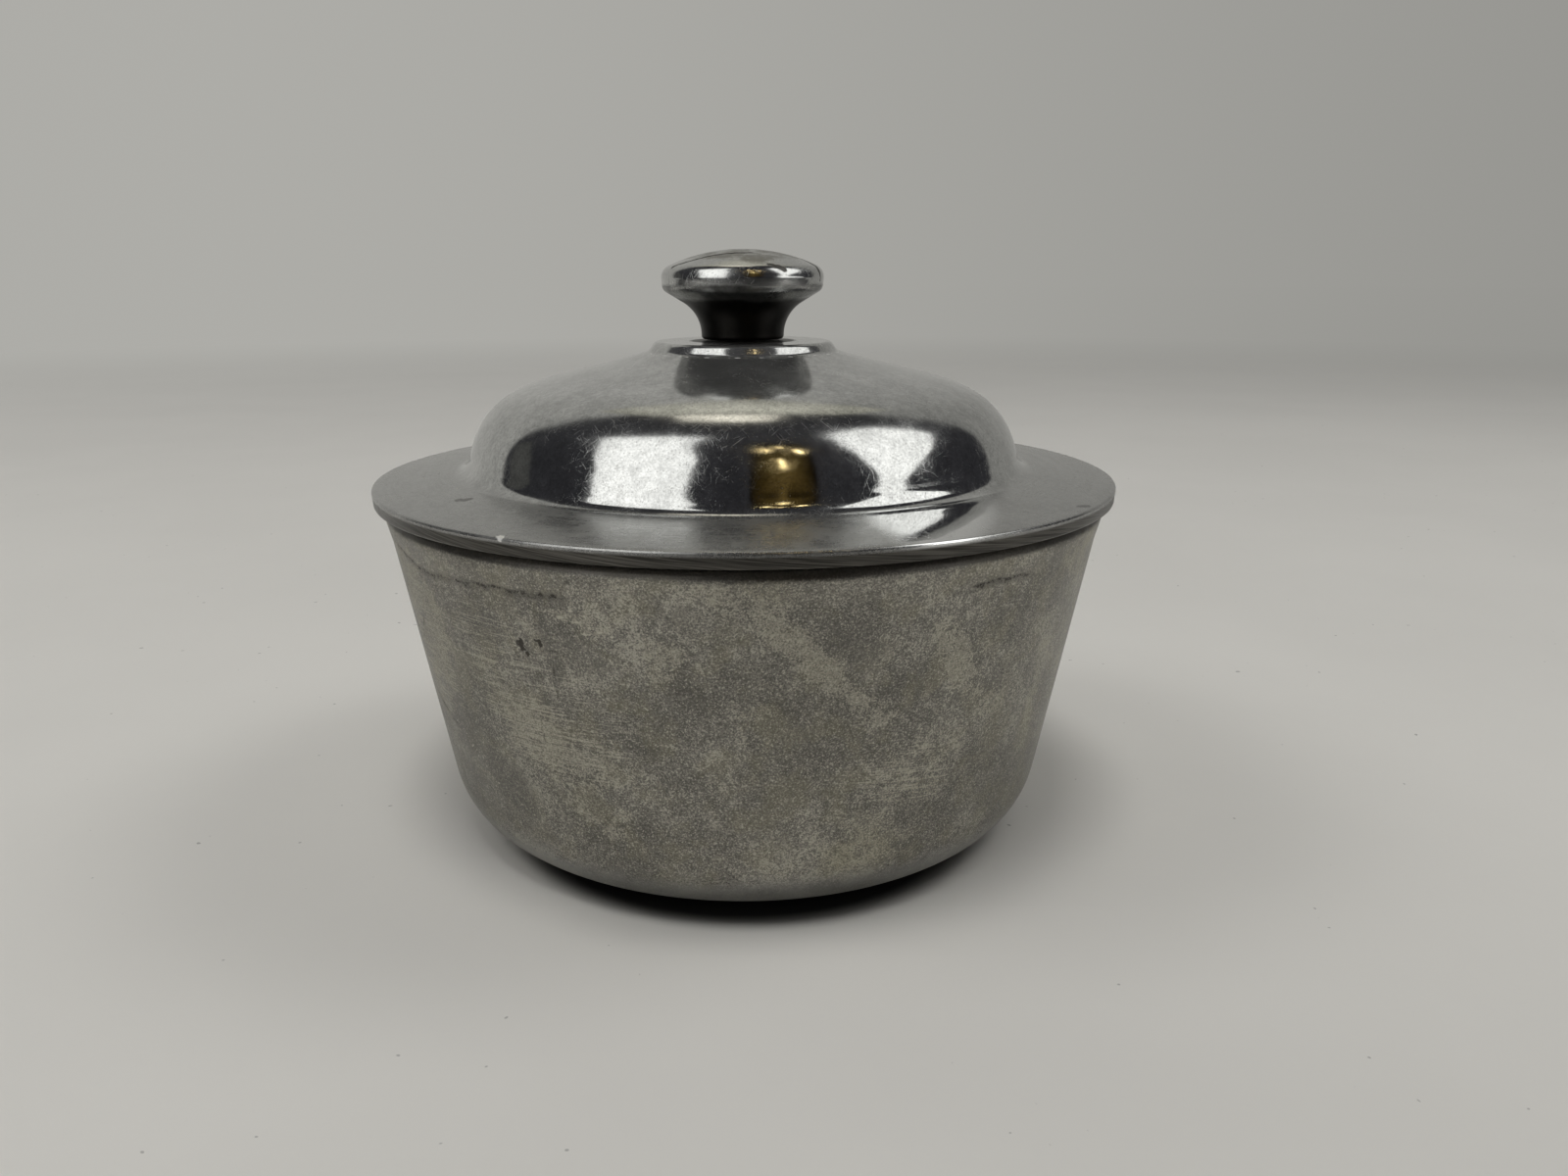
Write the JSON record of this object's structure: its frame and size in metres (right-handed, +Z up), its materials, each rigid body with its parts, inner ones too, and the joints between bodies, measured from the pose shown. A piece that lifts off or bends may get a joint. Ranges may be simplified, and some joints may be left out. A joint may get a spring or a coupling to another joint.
{
  "type": "sugar bowl",
  "caption": "Round covered bowl of cast metal: flat foot, tapered wall, domed lid with an overhanging flange and a centring ring, and a mushroom knob screwed on from inside.",
  "frame": {"origin": "centre of the flat foot, on the surface that the bowl stands on", "axes": "+Z up along the axis that every piece is turned about; +X and +Y are alike, and the slot of the hidden screw lies along X"},
  "size_m": [0.127, 0.127, 0.0985],
  "materials": {
    "bowl_metal": "dull aged casting, mottled, with buff patches and fine scratches",
    "lid_metal": "worn polish, bright on the dome's side, satin on the crown and flange",
    "knob_metal": "polished, scratched on the crown",
    "screw_metal": "plain plated steel"
  },
  "bodies": {
    "bowl": {"bowl": "bowl_metal"},
    "lid_set": {"lid": "lid_metal", "knob": "knob_metal", "knob_screw": "screw_metal"}
  },
  "joints": [
    {"name": "lid_lift", "type": "slide", "parent": "bowl", "child": "lid_set", "axis": [0, 0, 1], "range_m": [0, 0.08]}
  ]
}
